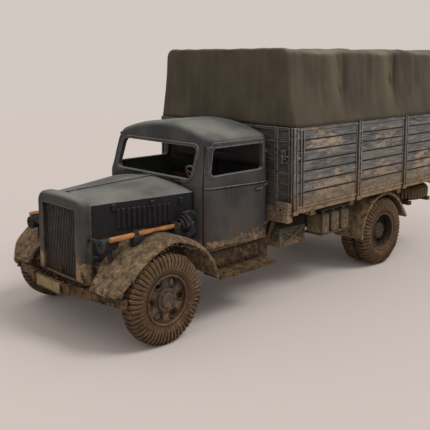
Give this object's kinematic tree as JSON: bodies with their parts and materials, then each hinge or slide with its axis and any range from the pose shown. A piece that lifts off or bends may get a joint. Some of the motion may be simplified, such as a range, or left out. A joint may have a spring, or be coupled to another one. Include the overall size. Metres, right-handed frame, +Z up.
{
  "type": "scale model military cargo truck",
  "caption": "Painted scale model of a bonneted military cargo truck with an open-windowed cab, boarded bed, rigid canvas-shaped tilt and wheels that turn.",
  "frame": {"origin": "centre of the footprint, on the surface the tyres stand on", "axes": "+Z up, the front faces -Y, the driver's left is +X"},
  "size_m": [0.0394, 0.1068, 0.0492],
  "materials": {
    "cab_paint": "matt dark blue-grey paint with lighter edges",
    "chassis_black": "matt near-black paint",
    "tyre_mud": "matt paint under dried mud",
    "wheel_paint": "matt dark grey paint",
    "bed_boards": "matt weathered board paint",
    "tilt_canvas": "matt olive-brown paint, brushed",
    "tool_handle": "matt orange-tan paint",
    "seat_brown": "matt red-brown paint",
    "plate_sand": "matt sand paint"
  },
  "bodies": {
    "truck": {"bed_bearers": "bed_boards", "bed_floor": "bed_boards", "bed_runner_left": "bed_boards", "bed_runner_right": "bed_boards", "bonnet": "cab_paint", "bonnet_side_left": "cab_paint", "bonnet_side_right": "cab_paint", "bumper": "cab_paint", "cab_floor": "chassis_black", "cab_shell": "cab_paint", "chassis_rail_left": "chassis_black", "chassis_rail_right": "chassis_black", "crossmembers": "chassis_black", "dashboard": "cab_paint", "door_left": "cab_paint", "door_right": "cab_paint", "engine_and_gearbox": "chassis_black", "exhaust": "chassis_black", "fender_left": "cab_paint", "fender_right": "cab_paint", "front_axle": "chassis_black", "front_spring_left": "chassis_black", "front_spring_right": "chassis_black", "fuel_cans": "cab_paint", "grille": "chassis_black", "headboard": "bed_boards", "headlamp_left": "cab_paint", "headlamp_right": "cab_paint", "horn": "cab_paint", "number_plate": "plate_sand", "pick": "tool_handle", "propshaft": "chassis_black", "radiator_shell": "cab_paint", "rear_axle": "chassis_black", "rear_mudguard_left": "cab_paint", "rear_mudguard_right": "cab_paint", "rear_spring_left": "chassis_black", "rear_spring_right": "chassis_black", "running_board_left": "cab_paint", "running_board_right": "cab_paint", "seat": "seat_brown", "shovel": "tool_handle", "sideboard_left": "bed_boards", "sideboard_right": "bed_boards", "spare_carrier": "chassis_black", "spare_tyre": "tyre_mud", "spare_wheel_disc": "wheel_paint", "steering_wheel": "chassis_black", "stowage_box": "cab_paint", "tailgate": "bed_boards", "tilt": "tilt_canvas", "tow_jaw": "chassis_black"},
    "front_wheel_left": {"front_tyre_left": "tyre_mud", "front_wheel_disc_left": "wheel_paint"},
    "front_wheel_right": {"front_tyre_right": "tyre_mud", "front_wheel_disc_right": "wheel_paint"},
    "rear_wheels_left": {"rear_tyres_left": "tyre_mud", "rear_wheel_disc_left": "wheel_paint"},
    "rear_wheels_right": {"rear_tyres_right": "tyre_mud", "rear_wheel_disc_right": "wheel_paint"}
  },
  "joints": [
    {"name": "front_wheel_left_spin", "type": "hinge", "parent": "truck", "child": "front_wheel_left", "pos_m": [0.0167, -0.04175, 0.00772], "axis": [1, 0, 0], "continuous": true},
    {"name": "front_wheel_right_spin", "type": "hinge", "parent": "truck", "child": "front_wheel_right", "pos_m": [-0.0167, -0.04175, 0.00772], "axis": [1, 0, 0], "continuous": true},
    {"name": "rear_wheels_left_spin", "type": "hinge", "parent": "truck", "child": "rear_wheels_left", "pos_m": [0.0147, 0.02255, 0.00772], "axis": [1, 0, 0], "continuous": true},
    {"name": "rear_wheels_right_spin", "type": "hinge", "parent": "truck", "child": "rear_wheels_right", "pos_m": [-0.0147, 0.02255, 0.00772], "axis": [1, 0, 0], "continuous": true}
  ]
}
